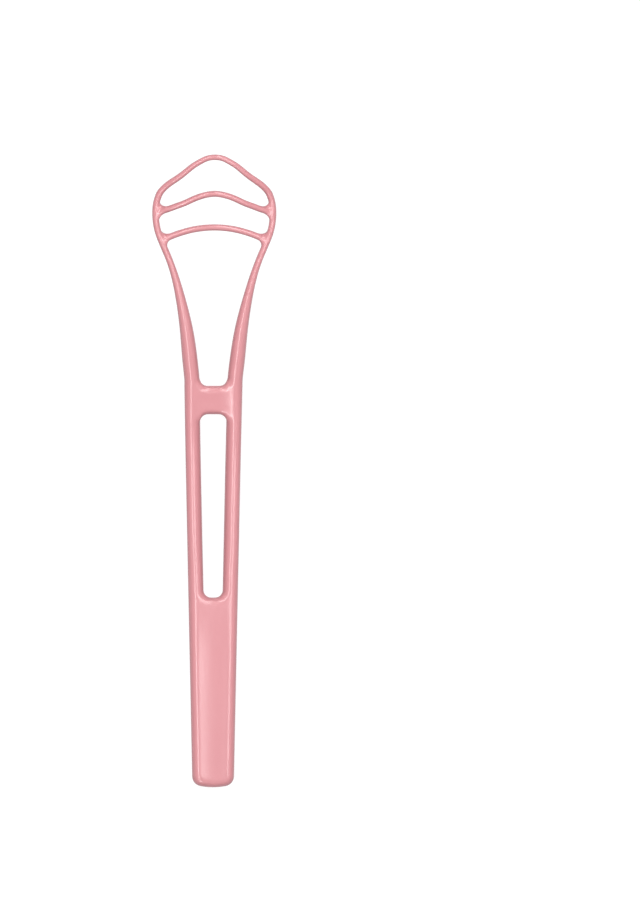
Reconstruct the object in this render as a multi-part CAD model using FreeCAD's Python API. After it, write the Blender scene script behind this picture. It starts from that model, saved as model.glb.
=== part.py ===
import FreeCAD, Part
import math
import os

from FreeCAD import Vector

# Tongue scraper: one plastic moulding, built as its named members, in millimetres.
# It lies on its back with the front face up. +Y runs from the butt to the head, +X to the right.
# The members are laid out with the butt at Y = 0, and moved at the end so that the origin is
# under the middle of the whole part.

# Lengths along the scraper
grip_length = 57.0  # butt to the slot's lower end
slot_length = 55.0
bridge_length = 8.6  # slot's upper end to the throat between the arms
head_length = 69.15  # throat's lower end to the apex of the front bar
fork_length = 6.0  # how far the handle runs up beside the slot

# Widths across the scraper
butt_width = 12.5
neck_width = 17.5  # over both rails, at the throat's lower end
head_width = 37.2
rail_width = 4.6
cheek_width = 1.95

# Depths from front to back
handle_depth = 4.6  # also the rails' depth
cheek_depth = 3.2

# Scraping bars: thickness along the scraper, depth, how far the ends fall back, and how far
# the middle stands in front of the cheeks
bar_depth = 2.8
front_bar_width = 1.65
front_bar_arch = 4.7
middle_bar_width = 1.8
middle_bar_drop = 5.65
middle_bar_arch = 3.0
rear_bar_width = 1.85
rear_bar_drop = 4.0
rear_bar_arch = 0.8

# Roundings in the corners where a bar meets a cheek, towards the front bar and towards the handle
middle_bar_fore_corner = 3.4
middle_bar_aft_corner = 2.0
rear_bar_fore_corner = 2.6
rear_bar_aft_corner = 1.7
gusset_dip = 0.8  # how far the corner towards the front bar falls below the bar

# Bridge: set back from the rails on both faces, hollowed between two rims on the front, and
# drawn up at its ends into the rails' shoulders
bridge_fore_corner = 2.2
bridge_aft_corner = 2.5
bridge_front_step = 0.2
bridge_back_step = 0.5
bridge_hollow = 0.25
bridge_shoulder_step = 0.1

# Handle: rounded butt and slot end, and a dish along the front
butt_bulge_depth = 1.0
butt_corner = 3.0
slot_corner = 2.3
lean_length = 12.0  # over which the rails' crests move outwards, at both ends of the rails
edge_round = 2.05
dish_depth = 0.22
dish_rim = 1.5
dish_end = 2.0  # from the end of the dish to the slot
dish_fade = 16.0  # over which the dish runs out towards the slot

# The bend that brings the head forward, measured from the butt
bend_start = 93.0
bend_length = 75.0
head_rise = 8.0

# Run of the arm and cheek: share of the way out from the neck to the widest point, share of the head's length
arm_path_shares = [(0.0, 0.0), (0.045, 0.092), (0.149, 0.231), (0.313, 0.370), (0.565, 0.517),
                   (0.734, 0.586), (0.941, 0.672), (1.0, 0.741)]
# Run of the front bar: share of the half width, share of the way up from the widest point to the apex
crown_path_shares = [(0.965, 0.284), (0.894, 0.424), (0.738, 0.564), (0.542, 0.705), (0.374, 0.845),
                     (0.200, 0.950), (0.0, 1.0)]
# Runs of the other two bars: share of the half span, share of the drop
middle_path_shares = [(0.0, 0.0), (0.15, 0.06), (0.30, 0.20), (0.45, 0.41), (0.62, 0.62), (0.76, 0.78),
                      (1.0, 1.0)]
rear_path_shares = [(0.0, 0.0), (0.35, 0.12), (0.70, 0.49), (1.0, 1.0)]
# Where the side runs change from arm to cheek and from cheek to front bar, and where the bars start
cheek_start_share = 0.51
cheek_end_share = 0.735
rear_bar_place_share = 0.563
middle_bar_place_share = 0.672
# Stretch of the head's length over which the arms thin down
thinning_shares = (0.092, 0.568)
# Largest edge rounding, of a member's width or depth
round_share = 0.45
# How far the rails' crests lie towards the outside: what their outer roundings lose and their inner ones gain
rail_lean_share = 0.15
# Largest rounding of the slot's lower corners, of its half width
slot_corner_share = 0.8
# How far a cross member runs into the side that it meets, of that side's width
seat_share = 0.2
# Least hollow of the bridge, at its ends
least_sag_share = 0.1
# Way along the dish's fade, and depth left there
dish_fade_shares = [(0.0, 1.0), (0.35, 0.8), (0.7, 0.35), (1.0, 0.05)]

# Counts of sections along each kind of member and the dish, half of it for the front bar and cross members
rail_section_count = 21
arm_section_count = 11
cheek_section_count = 8
crown_section_count = 10
bar_section_count = 6
corner_section_count = 8
dish_section_count = 7

# Places along the scraper
neck_y = grip_length + slot_length + bridge_length
fork_y = grip_length + fork_length
overall_length = neck_y + head_length
apex_y = overall_length - front_bar_width / 2
widest_y = neck_y + arm_path_shares[-1][1] * head_length
neck_x = (neck_width - rail_width) / 2
head_x = (head_width - cheek_width) / 2
# Length by which cutting shapes run past what they cut
overrun = handle_depth

UP = Vector(0, 0, 1)


def ease(share):
    """Smooth step from 0 to 1."""
    held = max(0.0, min(1.0, share))
    return held * held * (3 - 2 * held)


def blend(start, end, share):
    return start + (end - start) * share


def half_width(y):
    """Half of the width over the handle and the rails."""
    return blend(butt_width, neck_width, y / neck_y) / 2


def middle_z(y):
    """Height of the middle of the moulding's depth."""
    return handle_depth / 2 + head_rise * ease((y - bend_start) / bend_length)


def bend_slope(y):
    """Rise of the middle of the moulding's depth, for each unit of length."""
    share = max(0.0, min(1.0, (y - bend_start) / bend_length))
    return 6 * share * (1 - share) * head_rise / bend_length


def thinning(y):
    first, last = thinning_shares
    return ease(((y - neck_y) / head_length - first) / (last - first))


def corner_radius(width, depth):
    return min(edge_round, round_share * width, round_share * depth)


def section(place, across, up, back, front, low, high, sag=0.0, front_dip=0.0, lean=0.0):
    """Rounded rectangle about a place, from back to front along one direction and low to high along the other.

    Its top may sag in the middle, dip towards the front, or have its crest lean to the front."""
    radius = corner_radius(front - back, high - front_dip - low)
    radii = [radius * (1 - lean), radius * (1 + lean)] * 2
    corners = [(front, high - front_dip), (back, high), (back, low), (front, low)]
    quarter = math.pi / 2

    def spot(index, turn):
        """Point on a corner's rounding, a share of the way round it."""
        angle = (index + turn) * quarter
        inward_across = math.copysign(radii[index], math.cos((index + 0.5) * quarter))
        inward_up = math.copysign(radii[index], math.sin((index + 0.5) * quarter))
        out = corners[index][0] - inward_across + radii[index] * math.cos(angle)
        rise = corners[index][1] - inward_up + radii[index] * math.sin(angle)
        return place + across * out + up * rise

    edges = []
    for index in range(len(corners)):
        edges.append(Part.Arc(spot(index, 0), spot(index, 0.5), spot(index, 1)).toShape())
        side_start = spot(index, 1)
        side_end = spot((index + 1) % len(corners), 0)
        if sag and index == 0:
            edges.append(Part.Arc(side_start, (side_start + side_end) / 2 - up * sag, side_end).toShape())
        else:
            edges.append(Part.makeLine(side_start, side_end))
    return Part.Wire(edges)


def loft(sections):
    return Part.makeLoft(sections, True)


def mirrored(shape):
    return shape.mirror(Vector(), Vector(1, 0, 0))


def plan_curve(points, **tangents):
    curve = Part.BSplineCurve()
    curve.interpolate(Points=points, **tangents)
    return curve


def along(curve, distance):
    """Point on a plan curve at a distance from its start, and the direction of travel there."""
    parameter = curve.parameterAtDistance(distance, curve.FirstParameter)
    return curve.value(parameter), curve.tangent(parameter)[0]


def side_curve():
    """Plan line of the right arm, cheek and half of the front bar, from the neck to the apex."""
    points = [Vector(blend(neck_x, head_x, out), neck_y + length * head_length, 0)
              for out, length in arm_path_shares]
    points += [Vector(out * head_x, blend(widest_y, apex_y, rise), 0) for out, rise in crown_path_shares]
    return plan_curve(points, InitialTangent=Vector(0, 1, 0), FinalTangent=Vector(-1, 0, 0))


SIDE = side_curve()


def side_place(share):
    """Point and outward direction on the right side's plan line, at a share of its length."""
    place, travel = along(SIDE, share * SIDE.length())
    return place, Vector(travel.y, -travel.x, 0)


def side_section(share):
    place, outward = side_place(share)
    to_crown = ease((share - cheek_end_share) / (1 - cheek_end_share))
    thick = blend(rail_width, cheek_width, thinning(place.y))
    width = blend(thick, front_bar_width, to_crown)
    deep = blend(handle_depth, cheek_depth, thinning(place.y))
    depth = blend(deep, bar_depth, to_crown)
    height = middle_z(place.y)
    if place.y > widest_y:
        height += front_bar_arch * (1 - (place.x / head_x) ** 2)
    return section(place, outward, UP, -width / 2, width / 2, height - depth / 2, height + depth / 2)


def shares_between(first, last, count):
    return [blend(first, last, index / (count - 1)) for index in range(count)]


def rail_lean(y):
    """Lean of a rail's crest, which starts and ends upright."""
    return rail_lean_share * ease((y - fork_y) / lean_length) * ease((neck_y - y) / lean_length)


def rail():
    sections = []
    for y in shares_between(fork_y, neck_y, rail_section_count):
        place = Vector(half_width(y) - rail_width / 2, y, middle_z(y))
        sections.append(section(place, Vector(1, 0, 0), UP, -rail_width / 2, rail_width / 2,
                                -handle_depth / 2, handle_depth / 2, lean=rail_lean(y)))
    return loft(sections)


def side_member(first, last, count):
    return loft([side_section(share) for share in shares_between(first, last, count)])


def front_bar():
    half = [side_section(share) for share in shares_between(cheek_end_share, 1, crown_section_count)]
    return loft(half + [mirrored(one) for one in half[-2::-1]])


def corner_growth(clearance, radius):
    """What a corner rounding adds to a member's edge, at a distance from the wall that it meets."""
    outside = min(max(radius - clearance, 0.0), radius)
    return radius - math.sqrt(radius ** 2 - outside ** 2)


def corner_end(radius):
    """Distance from the wall at which a corner rounding is cut short, to leave no feather edge."""
    return radius * (1 - math.cos(math.pi / 2 / corner_section_count))


def cross_stations(wall, radius, side_width):
    """Distances from the middle of a cross member, closer together in the roundings at its ends."""
    clear = shares_between(0, wall - radius, bar_section_count)
    turns = [math.pi / 2 * index / corner_section_count for index in range(corner_section_count - 1, 0, -1)]
    right = clear + [wall - radius * (1 - math.cos(turn)) for turn in turns]
    right.append(wall + seat_share * side_width)
    return [-distance for distance in right[:0:-1]] + right


def bar(place_share, width, drop, path_shares, arch, fore_corner, aft_corner):
    """Curved bar between the cheeks, widened by a rounding in each corner, its ends turned along the cheeks."""
    end, outward = side_place(place_share)
    right = [Vector(out * end.x, end.y + drop * (1 - fall), 0) for out, fall in path_shares]
    left = [Vector(-point.x, point.y, 0) for point in right[:0:-1]]
    curve = plan_curve(left + right)
    half = curve.length() / 2
    wall = half - cheek_width / 2
    radius = max(fore_corner, aft_corner)
    sections = []
    for distance in cross_stations(wall, radius, cheek_width):
        place, travel = along(curve, half + distance)
        clearance = max(wall - abs(distance), corner_end(radius))
        turned = ease(1 - clearance / radius)
        cheek_run = Vector(-math.copysign(1, distance) * outward.y, outward.x, 0)
        forward = (Vector(-travel.y, travel.x, 0) * (1 - turned) + cheek_run * turned).normalize()
        tilted = (forward + UP * bend_slope(end.y) * forward.y).normalize()
        height = middle_z(end.y) + arch * (1 - (place.x / end.x) ** 2)
        front = width / 2 + corner_growth(clearance, fore_corner)
        back = -width / 2 - corner_growth(clearance, aft_corner)
        sections.append(section(place + UP * height, tilted, UP, back, front, -bar_depth / 2, bar_depth / 2,
                                front_dip=gusset_dip * turned ** 2))
    return loft(sections)


def bridge():
    """Web between the rails, tilted with the bend, its front hollowed between two rims."""
    mid_y = neck_y - bridge_length / 2
    forward = Vector(0, 1, bend_slope(mid_y)).normalize()
    up = Vector(1, 0, 0).cross(forward)
    half = half_width(mid_y) - rail_width / 2
    wall = half - rail_width / 2
    radius = max(bridge_fore_corner, bridge_aft_corner)
    low = bridge_back_step - handle_depth / 2
    stations = cross_stations(wall, radius, rail_width)
    sections = []
    for distance in stations:
        place = Vector(distance, mid_y, middle_z(mid_y))
        clearance = max(wall - abs(distance), corner_end(radius))
        front = bridge_length / 2 + corner_growth(clearance, bridge_fore_corner)
        back = -bridge_length / 2 - corner_growth(clearance, bridge_aft_corner)
        drawn_up = (distance / stations[-1]) ** 4
        high = handle_depth / 2 - blend(bridge_front_step, bridge_shoulder_step, drawn_up)
        sag = blend(bridge_hollow, bridge_hollow * least_sag_share, drawn_up)
        sections.append(section(place, forward, up, back, front, low, high, sag=sag))
    return loft(sections)


def prism(points, depth):
    face = Part.Face(Part.makePolygon(points + points[:1]))
    return face.extrude(Vector(0, 0, depth))


def upright_edges(shape, y_limit):
    """Edges along Z that lie nearer to the butt than a given place."""
    return [edge for edge in shape.Edges
            if edge.BoundBox.ZLength > edge.BoundBox.XLength + edge.BoundBox.YLength
            and edge.BoundBox.YMax < y_limit]


def slot_cut(end_y):
    low = half_width(grip_length) - rail_width
    high = half_width(end_y) - rail_width
    points = [Vector(-low, grip_length, -overrun), Vector(low, grip_length, -overrun),
              Vector(high, end_y, -overrun), Vector(-high, end_y, -overrun)]
    cut = prism(points, handle_depth + 2 * overrun)
    return cut.makeFillet(min(slot_corner, slot_corner_share * low), upright_edges(cut, fork_y))


def handle():
    """Solid grip with a rounded butt and a forked end, all its long edges rounded."""
    end_y = fork_y + overrun
    near = half_width(0)
    far = half_width(end_y)
    butt = Part.Arc(Vector(-near, butt_bulge_depth, 0), Vector(0, 0, 0), Vector(near, butt_bulge_depth, 0)).toShape()
    right = Part.makeLine(Vector(near, butt_bulge_depth, 0), Vector(far, end_y, 0))
    top = Part.makeLine(Vector(far, end_y, 0), Vector(-far, end_y, 0))
    left = Part.makeLine(Vector(-far, end_y, 0), Vector(-near, butt_bulge_depth, 0))
    block = Part.Face(Part.Wire([butt, right, top, left])).extrude(Vector(0, 0, handle_depth))
    block = block.makeFillet(butt_corner, upright_edges(block, grip_length))
    block = block.cut(slot_cut(end_y + overrun))
    rims = [edge for edge in block.Edges
            if edge.BoundBox.ZLength < edge.BoundBox.DiagonalLength / 2
            and edge.BoundBox.YMin < fork_y]
    block = block.makeFillet(corner_radius(rail_width, handle_depth), rims)
    return block.cut(fork_end()).cut(dish())


def fork_end():
    """Everything beyond the ends of the fork."""
    corner = Vector(-neck_width, fork_y, -overrun)
    return Part.makeBox(2 * neck_width, 2 * overrun, handle_depth + 2 * overrun, corner)


def dish_section(y, depth):
    half = half_width(y) - dish_rim
    left, right = Vector(-half, y, handle_depth), Vector(half, y, handle_depth)
    trough = Part.Arc(left, Vector(0, y, handle_depth - depth), right).toShape()
    over = [right, right + UP * overrun, left + UP * overrun, left]
    return Part.Wire([trough] + Part.makePolygon(over).Edges)


def dish():
    """Shallow trough along the front of the handle, which widens with it and runs out towards the slot."""
    fade_y = grip_length - dish_end - dish_fade
    sections = [dish_section(y, dish_depth) for y in shares_between(-overrun, fade_y, dish_section_count)[:-1]]
    sections += [dish_section(fade_y + way * dish_fade, left * dish_depth) for way, left in dish_fade_shares]
    return loft(sections)


def members():
    right_rail = rail()
    right_arm = side_member(0, cheek_start_share, arm_section_count)
    right_cheek = side_member(cheek_start_share, cheek_end_share, cheek_section_count)
    front = front_bar()
    sides = [right_rail, right_arm, right_cheek]
    frame = [front] + sides + [mirrored(side) for side in sides]
    rear = bar(rear_bar_place_share, rear_bar_width, rear_bar_drop, rear_path_shares, rear_bar_arch,
               rear_bar_fore_corner, rear_bar_aft_corner)
    middle = bar(middle_bar_place_share, middle_bar_width, middle_bar_drop, middle_path_shares, middle_bar_arch,
                 middle_bar_fore_corner, middle_bar_aft_corner)
    return {
        "handle": handle(),
        "right_rail": right_rail,
        "left_rail": mirrored(right_rail),
        "bridge": bridge().cut(frame),
        "right_arm": right_arm,
        "left_arm": mirrored(right_arm),
        "right_cheek": right_cheek,
        "left_cheek": mirrored(right_cheek),
        "rear_bar": rear.cut(frame),
        "middle_bar": middle.cut(frame),
        "front_bar": front,
    }


os.makedirs("parts", exist_ok=True)
for name, shape in members().items():
    shape.translate(Vector(0, -overall_length / 2, 0))
    shape.exportStep("parts/" + name + ".step")
    print(name, "solids", len(shape.Solids), "valid", shape.isValid(), "volume", round(shape.Volume, 1))
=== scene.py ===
import math

import bmesh
import bpy
import numpy as np
from mathutils import Matrix, Vector
from mathutils.bvhtree import BVHTree


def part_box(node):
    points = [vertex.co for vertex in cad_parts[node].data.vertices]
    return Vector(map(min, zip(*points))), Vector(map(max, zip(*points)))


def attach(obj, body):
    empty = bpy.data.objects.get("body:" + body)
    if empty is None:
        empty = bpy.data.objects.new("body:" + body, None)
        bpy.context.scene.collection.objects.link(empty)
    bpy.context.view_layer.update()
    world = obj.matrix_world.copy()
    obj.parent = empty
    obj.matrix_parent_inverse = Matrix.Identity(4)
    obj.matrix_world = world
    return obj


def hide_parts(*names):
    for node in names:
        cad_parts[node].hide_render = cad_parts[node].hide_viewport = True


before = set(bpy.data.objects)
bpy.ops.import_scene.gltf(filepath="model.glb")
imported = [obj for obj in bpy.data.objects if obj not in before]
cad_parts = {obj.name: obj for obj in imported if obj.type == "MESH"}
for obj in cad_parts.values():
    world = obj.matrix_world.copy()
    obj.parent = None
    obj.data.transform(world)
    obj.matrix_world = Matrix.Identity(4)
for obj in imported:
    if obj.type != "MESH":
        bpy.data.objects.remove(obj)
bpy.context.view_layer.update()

# Tongue scraper: a glossy pink moulding, lying on its back, seen from straight above.
# Lengths are in metres. The skin is worked out in millimetres.
MM = 0.001
NORMAL = "skin_normal"
WHITE = (1.0, 1.0, 1.0, 1.0)

# Skin: cell of the remesh, turn of its grid so that no long edge runs along it, rounds of smoothing with
# its two steps, and rounds of evening out its normals
CELL = 0.25
GRID_TURN_DEGREES = 30.0
SMOOTH_ROUNDS = 80
EASE_IN = 0.5
EASE_OUT = -0.508
NORMAL_ROUNDS = 30

# Front of the bridge: rounds that ease it into a shallow hollow, and the least upward part of its normal
HOLLOW_ROUNDS = 120
FACING_UP = 0.9

# Places where the skin is parted into its members. Members that follow one another meet at the solids'
# own ends, or just past a cross member that is in the way. A cross member is parted a little way in
# from the side that carries it.
FOLLOWING = [("handle", "{}_rail", None), ("{}_rail", "{}_arm", "bridge"),
             ("{}_arm", "{}_cheek", None), ("{}_cheek", "front_bar", None)]
CROSSING = [("bridge", "{}_rail"), ("rear_bar", "{}_cheek"), ("middle_bar", "{}_cheek")]
SIDES = ("left", "right")
TOUCH = 0.02
INSET = 1.0
REACH_SHARE = 1.3
VOTES = 60

# Camera: the photograph's frame, its scale, where the scraper's middle is in it, the place of the camera,
# and the width of its sensor in millimetres
IMAGE_WIDTH = 640
IMAGE_HEIGHT = 898
PIXEL = 0.30 * MM
MIDDLE_COLUMN = 213.8
MIDDLE_ROW = 471.3
CAMERA_DISTANCE = 5.0
CAMERA_LEFT_DEGREES = 2.5
AIM_HEIGHT = 8.0 * MM
SENSOR = 36.0

# Lights: sideways tilt in degrees, positive to the right, angle covered across, length, how far the middle
# lies towards the head, and radiance
LIGHT_DISTANCE = 1.2
LIGHTS = {
    "strip_light": {"tilt": -12.0, "across": 5.0, "length": 2.4, "forward": 0.0, "radiance": 16.0},
    "right_light": {"tilt": 13.0, "across": 14.0, "length": 2.4, "forward": 1.05, "radiance": 7.0},
}
WORLD_STRENGTH = 0.16

# Floor: a light table, which fills the shadows
FLOOR_HALF = 4.0
FLOOR_GAP = 0.02 * MM
FLOOR_COLOUR = (0.25, 0.25, 0.25, 1.0)
FLOOR_GLOW = 0.85
FLOOR_ROUGHNESS = 1.0
FLOOR_SPECULAR = 0.0

# Plastic: pink of the flats, darker pink painted on the sides as shade, how far clouds in the resin shift
# the tone between them, the clouds' fineness and range of roughness, and the fineness and height of the
# surface's ripple
PINK = (0.71, 0.308, 0.332, 1.0)
# Painted shade: the sides take this darker pink because they get less light, not because the resin differs
# there.
PINK_PAINTED_SIDE_SHADE = (0.34, 0.115, 0.135, 1.0)
DRIFT_SHARE = 0.05
CLOUD_SCALE = 90.0
GLOSS_ROUGHNESS = (0.17, 0.22)
RIPPLE_SCALE = 400.0
RIPPLE_HEIGHT = 0.002 * MM


# Skin of the whole moulding

def joined_nodes():
    """One mesh of all the solids, in millimetres."""
    parts = bmesh.new()
    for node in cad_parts.values():
        parts.from_mesh(node.data)
    bmesh.ops.scale(parts, vec=(1 / MM,) * 3, verts=parts.verts)
    mesh = bpy.data.meshes.new("joined")
    parts.to_mesh(mesh)
    parts.free()
    return mesh


def remeshed(mesh):
    """A single even skin round a mesh."""
    turn = Matrix.Rotation(math.radians(GRID_TURN_DEGREES), 4, "Z")
    mesh.transform(turn)
    carrier = bpy.data.objects.new("carrier", mesh)
    bpy.context.scene.collection.objects.link(carrier)
    remesh = carrier.modifiers.new("remesh", "REMESH")
    remesh.mode = "VOXEL"
    remesh.voxel_size = CELL
    graph = bpy.context.evaluated_depsgraph_get()
    skin = bpy.data.meshes.new_from_object(carrier.evaluated_get(graph))
    bpy.data.objects.remove(carrier)
    bpy.data.meshes.remove(mesh)
    skin.transform(turn.inverted())
    return skin


def read_points(mesh):
    points = np.empty(len(mesh.vertices) * 3)
    mesh.vertices.foreach_get("co", points)
    return points.reshape(-1, 3)


def read_edges(mesh):
    edges = np.empty(len(mesh.edges) * 2, np.int32)
    mesh.edges.foreach_get("vertices", edges)
    return edges.reshape(-1, 2)


def eased(values, edges, steps):
    """Values at the vertices, drawn to their neighbours' mean by each step in turn."""
    count = len(values)
    first, second = edges.T
    links = np.bincount(edges.ravel(), minlength=count)
    for step in steps:
        mean = np.empty_like(values)
        for axis in range(3):
            column = values[:, axis]
            total = np.bincount(first, column[second], count) + np.bincount(second, column[first], count)
            mean[:, axis] = total / links
        values = values + step * (mean - values)
    return values


def read_normals(skin, points):
    """Normals of a skin whose vertices are moved to some points."""
    skin.vertices.foreach_set("co", points.ravel())
    skin.update()
    normals = np.empty(points.size)
    skin.vertex_normals.foreach_get("vector", normals)
    return normals.reshape(-1, 3)


def hollowed(points, normals, edges):
    """Points with the bridge's front eased into one shallow hollow between the rails."""
    low, high = (np.array(corner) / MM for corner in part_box("bridge"))
    inside = ((points > low) & (points < high))[:, :2].all(axis=1)
    steps = EASE_IN * (inside & (normals[:, 2] > FACING_UP))[:, None]
    settled = eased(points, edges, (steps,) * HOLLOW_ROUNDS)
    return np.column_stack((points[:, :2], settled[:, 2]))


def whole_skin():
    """Skin with rounded creases and a hollowed bridge, each vertex with an evened normal."""
    skin = remeshed(joined_nodes())
    edges = read_edges(skin)
    points = eased(read_points(skin), edges, (EASE_IN, EASE_OUT) * SMOOTH_ROUNDS)
    points = hollowed(points, read_normals(skin, points), edges)
    normals = eased(read_normals(skin, points), edges, (EASE_IN,) * NORMAL_ROUNDS)
    skin.attributes.new(NORMAL, "FLOAT_VECTOR", "POINT").data.foreach_set("vector", normals.ravel())
    return skin


# Parting of the skin into the members

def node_tree(name):
    """Search tree of a solid's surface, in millimetres."""
    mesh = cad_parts[name].data
    points = [vertex.co / MM for vertex in mesh.vertices]
    return BVHTree.FromPolygons(points, [face.vertices[:] for face in mesh.polygons])


def touching_points(name, other):
    """Points of one solid that lie on another."""
    points = [vertex.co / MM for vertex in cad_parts[name].data.vertices]
    found = [point for point in points if TREES[other].find_nearest(point, TOUCH)[0] is not None]
    return np.array(found)


def flat_through(points):
    """Centre and direction of the flat that lies closest to some points."""
    centre = points.mean(axis=0)
    direction = np.linalg.svd(points - centre, full_matrices=False)[2][-1]
    return centre, direction


def seam(name, other):
    """Touching points of two members, and centre, direction and reach of the cut between them.

    The direction points into the second member.
    """
    points = touching_points(name, other)
    centre, direction = flat_through(points)
    middle = read_points(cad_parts[name].data).mean(axis=0) / MM
    if np.dot(centre - middle, direction) < 0:
        direction = -direction
    reach = REACH_SHARE * np.linalg.norm(points - centre, axis=1).max()
    return points, centre, direction, reach


def seams():
    """Centre, direction and reach of every cut."""
    cuts = []
    for side in SIDES:
        for name, other, in_the_way in FOLLOWING:
            _, centre, direction, reach = seam(name.format(side), other.format(side))
            if in_the_way:
                passed = read_points(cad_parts[in_the_way].data) / MM
                centre = centre + direction * (((passed - centre) @ direction).max() + INSET)
            cuts.append((centre, direction, reach))
        for name, other in CROSSING:
            points, centre, direction, reach = seam(name.format(side), other.format(side))
            centre = centre + direction * (((points - centre) @ direction).min() - INSET)
            cuts.append((centre, direction, reach))
    return cuts


def cut_skin(skin):
    """The skin cut open along every seam."""
    body = bmesh.new()
    body.from_mesh(skin)
    opened = {}
    for centre, direction, reach in seams():
        middle = Vector(centre)
        faces = [face for face in body.faces if (face.calc_center_median() - middle).length < reach]
        near = dict.fromkeys(faces)
        for face in faces:
            near.update(dict.fromkeys(face.edges))
            near.update(dict.fromkeys(face.verts))
        cut = bmesh.ops.bisect_plane(body, geom=list(near), plane_co=middle, plane_no=Vector(direction))
        opened.update((part, None) for part in cut["geom_cut"] if isinstance(part, bmesh.types.BMEdge))
    bmesh.ops.split_edges(body, edges=list(opened))
    return body


def connected_faces(body):
    """Lists of faces that hang together."""
    groups = []
    waiting = dict.fromkeys(body.faces)
    while waiting:
        front = [next(iter(waiting))]
        del waiting[front[0]]
        group = []
        while front:
            face = front.pop()
            group.append(face)
            for edge in face.edges:
                for other in edge.link_faces:
                    if other in waiting:
                        del waiting[other]
                        front.append(other)
        groups.append(group)
    return groups


def open_loops(faces):
    """Rings of vertices round the openings of a group of faces, in the order that closes it."""
    following = {}
    for face in faces:
        for loop in face.loops:
            if loop.edge.is_boundary:
                following[loop.link_loop_next.vert] = loop.vert
    rings = []
    while following:
        vertex = next(iter(following))
        ring = []
        while vertex in following:
            ring.append(vertex)
            vertex = following.pop(vertex)
        rings.append(ring)
    return rings


def member_name(faces):
    """The solid that most points of a group of faces lie closest to."""
    step = max(1, len(faces) // VOTES)
    votes = []
    for face in faces[::step]:
        point = face.calc_center_median()
        votes.append(min(TREES, key=lambda name: TREES[name].find_nearest(point)[3]))
    return max(sorted(set(votes)), key=votes.count)


def member_mesh(name, faces, kept):
    """Closed mesh of one member, shaded as part of the whole skin."""
    rings = open_loops(faces)
    vertices = sorted({vertex for face in faces for vertex in face.verts}, key=lambda vertex: vertex.index)
    order = {vertex: index for index, vertex in enumerate(vertices)}
    polygons = [[order[vertex] for vertex in face.verts] for face in faces]
    caps = [[order[vertex] for vertex in ring] for ring in rings]
    mesh = bpy.data.meshes.new(name)
    mesh.from_pydata([vertex.co * MM for vertex in vertices], [], polygons + caps)
    mesh.polygons.foreach_set("use_smooth", [True] * len(mesh.polygons))
    normals = [vertices[index][kept].normalized() for polygon in polygons for index in polygon]
    for cap in mesh.polygons[len(polygons):]:
        normals += [cap.normal] * cap.loop_total
    mesh.normals_split_custom_set(normals)
    return mesh


def members(material):
    """One piece for each member, in the place of its solid."""
    body = cut_skin(whole_skin())
    body.verts.index_update()
    kept = body.verts.layers.float_vector[NORMAL]
    for faces in connected_faces(body):
        node = member_name(faces)
        piece = bpy.data.objects.new(node + "_skin", member_mesh(node + "_skin", faces, kept))
        piece.data.materials.append(material)
        bpy.context.scene.collection.objects.link(piece)
        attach(piece, "root")
        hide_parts(node)
    body.free()


# Plastic

def plastic():
    """Glossy plastic with painted shade on its sides, a faint cloud in its tone and gloss, and a faint
    ripple.
    """
    material = bpy.data.materials.new("pink_plastic")
    material.use_nodes = True
    nodes = material.node_tree.nodes
    links = material.node_tree.links
    shader = nodes["Principled BSDF"]
    place = nodes.new("ShaderNodeTexCoord")
    facing = nodes.new("ShaderNodeSeparateXYZ")
    links.new(place.outputs["Normal"], facing.inputs["Vector"])
    # Painted shade: the less the surface faces up, the more of the darker side pink it takes; the clouds
    # shift this a little.
    flatness = nodes.new("ShaderNodeMath")
    flatness.operation = "ABSOLUTE"
    links.new(facing.outputs["Z"], flatness.inputs[0])
    clouds = nodes.new("ShaderNodeTexNoise")
    clouds.inputs["Scale"].default_value = CLOUD_SCALE
    links.new(place.outputs["Object"], clouds.inputs["Vector"])
    side_shade_and_cloud = nodes.new("ShaderNodeMath")
    side_shade_and_cloud.operation = "MULTIPLY_ADD"
    side_shade_and_cloud.inputs[1].default_value = DRIFT_SHARE
    links.new(clouds.outputs["Fac"], side_shade_and_cloud.inputs[0])
    links.new(flatness.outputs["Value"], side_shade_and_cloud.inputs[2])
    tone = nodes.new("ShaderNodeMix")
    tone.data_type = "RGBA"
    tone.inputs["A"].default_value = PINK_PAINTED_SIDE_SHADE
    tone.inputs["B"].default_value = PINK
    links.new(side_shade_and_cloud.outputs["Value"], tone.inputs["Factor"])
    links.new(tone.outputs["Result"], shader.inputs["Base Color"])
    gloss = nodes.new("ShaderNodeMapRange")
    gloss.inputs["To Min"].default_value, gloss.inputs["To Max"].default_value = GLOSS_ROUGHNESS
    links.new(clouds.outputs["Fac"], gloss.inputs["Value"])
    links.new(gloss.outputs["Result"], shader.inputs["Roughness"])
    ripple = nodes.new("ShaderNodeTexNoise")
    ripple.inputs["Scale"].default_value = RIPPLE_SCALE
    links.new(place.outputs["Object"], ripple.inputs["Vector"])
    bump = nodes.new("ShaderNodeBump")
    bump.inputs["Distance"].default_value = RIPPLE_HEIGHT
    links.new(ripple.outputs["Fac"], bump.inputs["Height"])
    links.new(bump.outputs["Normal"], shader.inputs["Normal"])
    return material


# Stage

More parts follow.
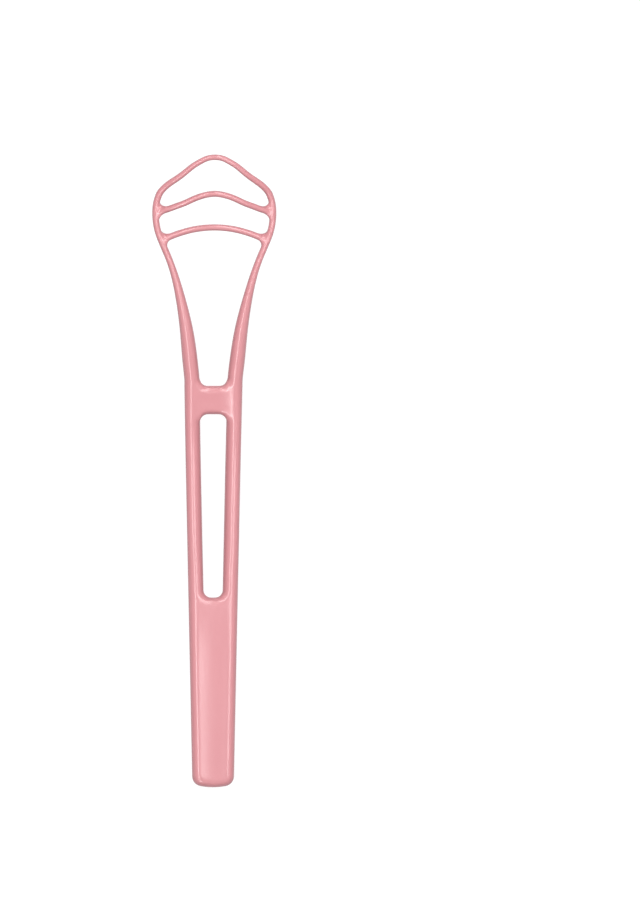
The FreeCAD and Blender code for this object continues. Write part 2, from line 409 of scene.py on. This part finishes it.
def add_floor():
    """Pale glowing floor, just under the scraper."""
    floor_mesh = bpy.data.meshes.new("floor")
    corners = [(-1, -1), (1, -1), (1, 1), (-1, 1)]
    points = [(x * FLOOR_HALF, y * FLOOR_HALF, -FLOOR_GAP) for x, y in corners]
    floor_mesh.from_pydata(points, [], [range(len(points))])
    floor = bpy.data.objects.new("floor", floor_mesh)
    bpy.context.scene.collection.objects.link(floor)
    material = bpy.data.materials.new("floor_paper")
    material.use_nodes = True
    shader = material.node_tree.nodes["Principled BSDF"]
    shader.inputs["Base Color"].default_value = FLOOR_COLOUR
    shader.inputs["Roughness"].default_value = FLOOR_ROUGHNESS
    shader.inputs["Specular IOR Level"].default_value = FLOOR_SPECULAR
    shader.inputs["Emission Color"].default_value = WHITE
    shader.inputs["Emission Strength"].default_value = FLOOR_GLOW
    floor_mesh.materials.append(material)


def add_light(name, tilt, across, length, forward, radiance):
    """Long panel along the scraper, turned to face it."""
    lamp = bpy.data.lights.new(name, "AREA")
    lamp.shape = "RECTANGLE"
    lamp.size = 2 * LIGHT_DISTANCE * math.tan(math.radians(across) / 2)
    lamp.size_y = length
    lamp.energy = radiance * math.pi * lamp.size * lamp.size_y
    light = bpy.data.objects.new(name, lamp)
    angle = math.radians(tilt)
    light.location = (LIGHT_DISTANCE * math.sin(angle), forward, LIGHT_DISTANCE * math.cos(angle))
    light.rotation_euler = (0, angle, 0)
    light.visible_camera = False
    bpy.context.scene.collection.objects.link(light)


def add_world():
    world = bpy.data.worlds.new("studio")
    world.use_nodes = True
    background = world.node_tree.nodes["Background"]
    background.inputs["Color"].default_value = WHITE
    background.inputs["Strength"].default_value = WORLD_STRENGTH
    bpy.context.scene.world = world


def add_camera():
    """Camera above the scraper, aimed at the middle of the photograph's frame."""
    right = (IMAGE_WIDTH / 2 - MIDDLE_COLUMN) * PIXEL
    up = (MIDDLE_ROW - IMAGE_HEIGHT / 2) * PIXEL
    aim = Vector((right, up, AIM_HEIGHT))
    angle = math.radians(CAMERA_LEFT_DEGREES) + math.atan(right / CAMERA_DISTANCE)
    lens = bpy.data.cameras.new("camera")
    lens.sensor_width = SENSOR
    lens.lens = SENSOR * CAMERA_DISTANCE / (IMAGE_HEIGHT * PIXEL)
    camera = bpy.data.objects.new("camera", lens)
    camera.location = aim + CAMERA_DISTANCE * Vector((-math.sin(angle), 0, math.cos(angle)))
    camera.rotation_euler = (0, -angle, 0)
    bpy.context.scene.collection.objects.link(camera)
    bpy.context.scene.camera = camera


TREES = {name: node_tree(name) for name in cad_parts}

bpy.context.scene.view_settings.view_transform = "Standard"
members(plastic())
add_floor()
for light_name, settings in LIGHTS.items():
    add_light(light_name, **settings)
add_world()
add_camera()
